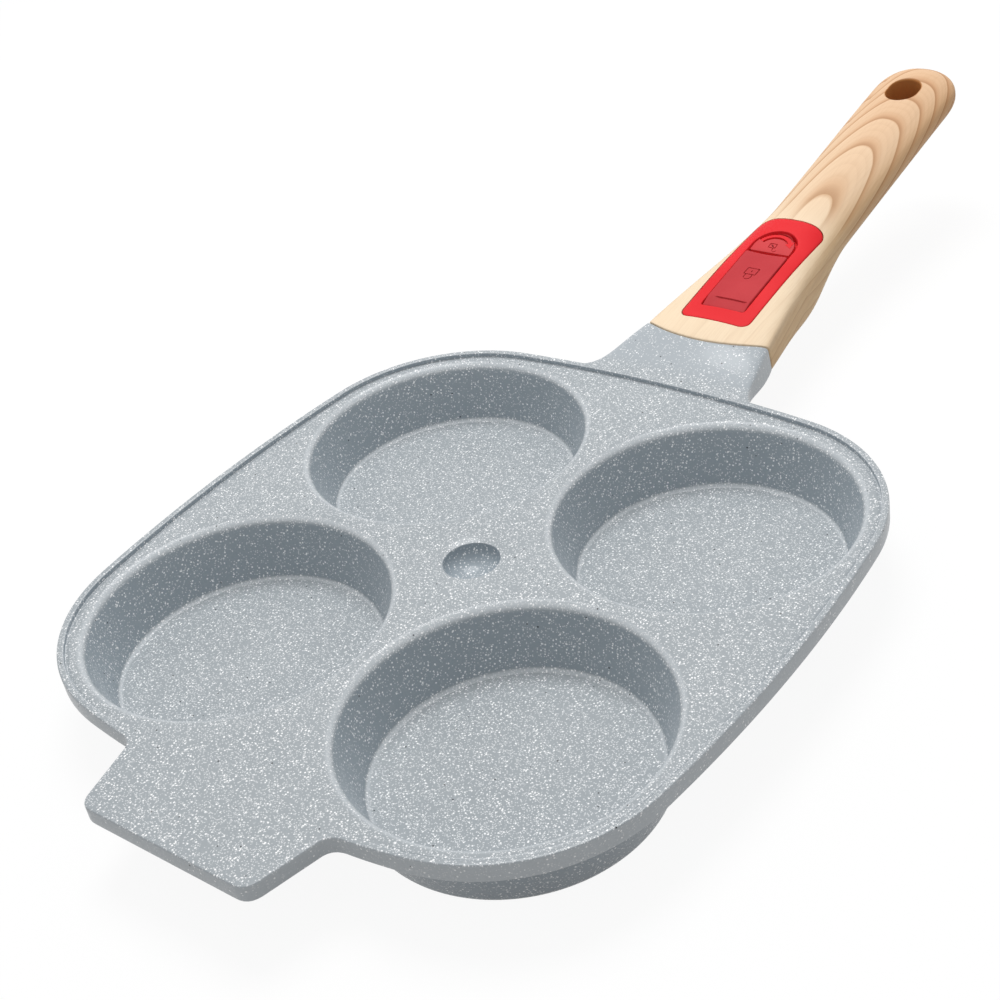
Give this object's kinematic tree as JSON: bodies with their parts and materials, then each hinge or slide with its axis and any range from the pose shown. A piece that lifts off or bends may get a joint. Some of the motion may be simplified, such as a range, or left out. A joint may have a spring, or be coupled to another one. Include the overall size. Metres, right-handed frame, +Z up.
{
  "type": "pancake pan",
  "caption": "Square-flanged frying pan with round cups for small pancakes, a helper tab, and a wood-look handle that a sliding lock holds on its neck.",
  "frame": {"origin": "middle of the pan's outline seen from above, on the surface that its cups stand on", "axes": "+X to the right seen from the tab, +Y from the tab along the handle to its tail, +Z up"},
  "size_m": [0.234, 0.478, 0.0623],
  "materials": {
    "coating": "matt grey non-stick coating with white and a few black specks",
    "wood": "satin, light tan grain",
    "bright_red": "satin",
    "dull_red": "satin",
    "black_plastic": "matt",
    "steel": "plain"
  },
  "bodies": {
    "pan": {"pan_body": "coating", "handle_grip": "wood", "socket_sleeve": "steel", "lock_bezel": "bright_red", "lock_tray": "black_plastic", "tray_screw_front": "steel", "tray_screw_rear": "steel", "pawl_pin": "steel", "pawl_spring": "steel", "return_spring": "steel"},
    "slider": {"slide_button": "dull_red", "button_carriage": "black_plastic", "carriage_screw_front": "steel", "carriage_screw_rear": "steel"},
    "pawl": {"latch_pawl": "steel"}
  },
  "joints": [
    {"name": "lock_slide", "type": "slide", "parent": "pan", "child": "slider", "axis": [0, 0.9869, 0.1616], "range_m": [0, 0.005], "stiffness_N_per_m": 300, "springref_m": -0.008, "deforming": ["return_spring"]},
    {"name": "pawl_hinge", "type": "hinge", "parent": "pan", "child": "pawl", "pos_m": [0, 0.07954, 0.03079], "axis": [-1, 0, 0], "range_deg": [0, 10.7]}
  ],
  "couplings": [
    {"joint": "pawl_hinge", "follows": "lock_slide", "rad_per_m": 37}
  ]
}
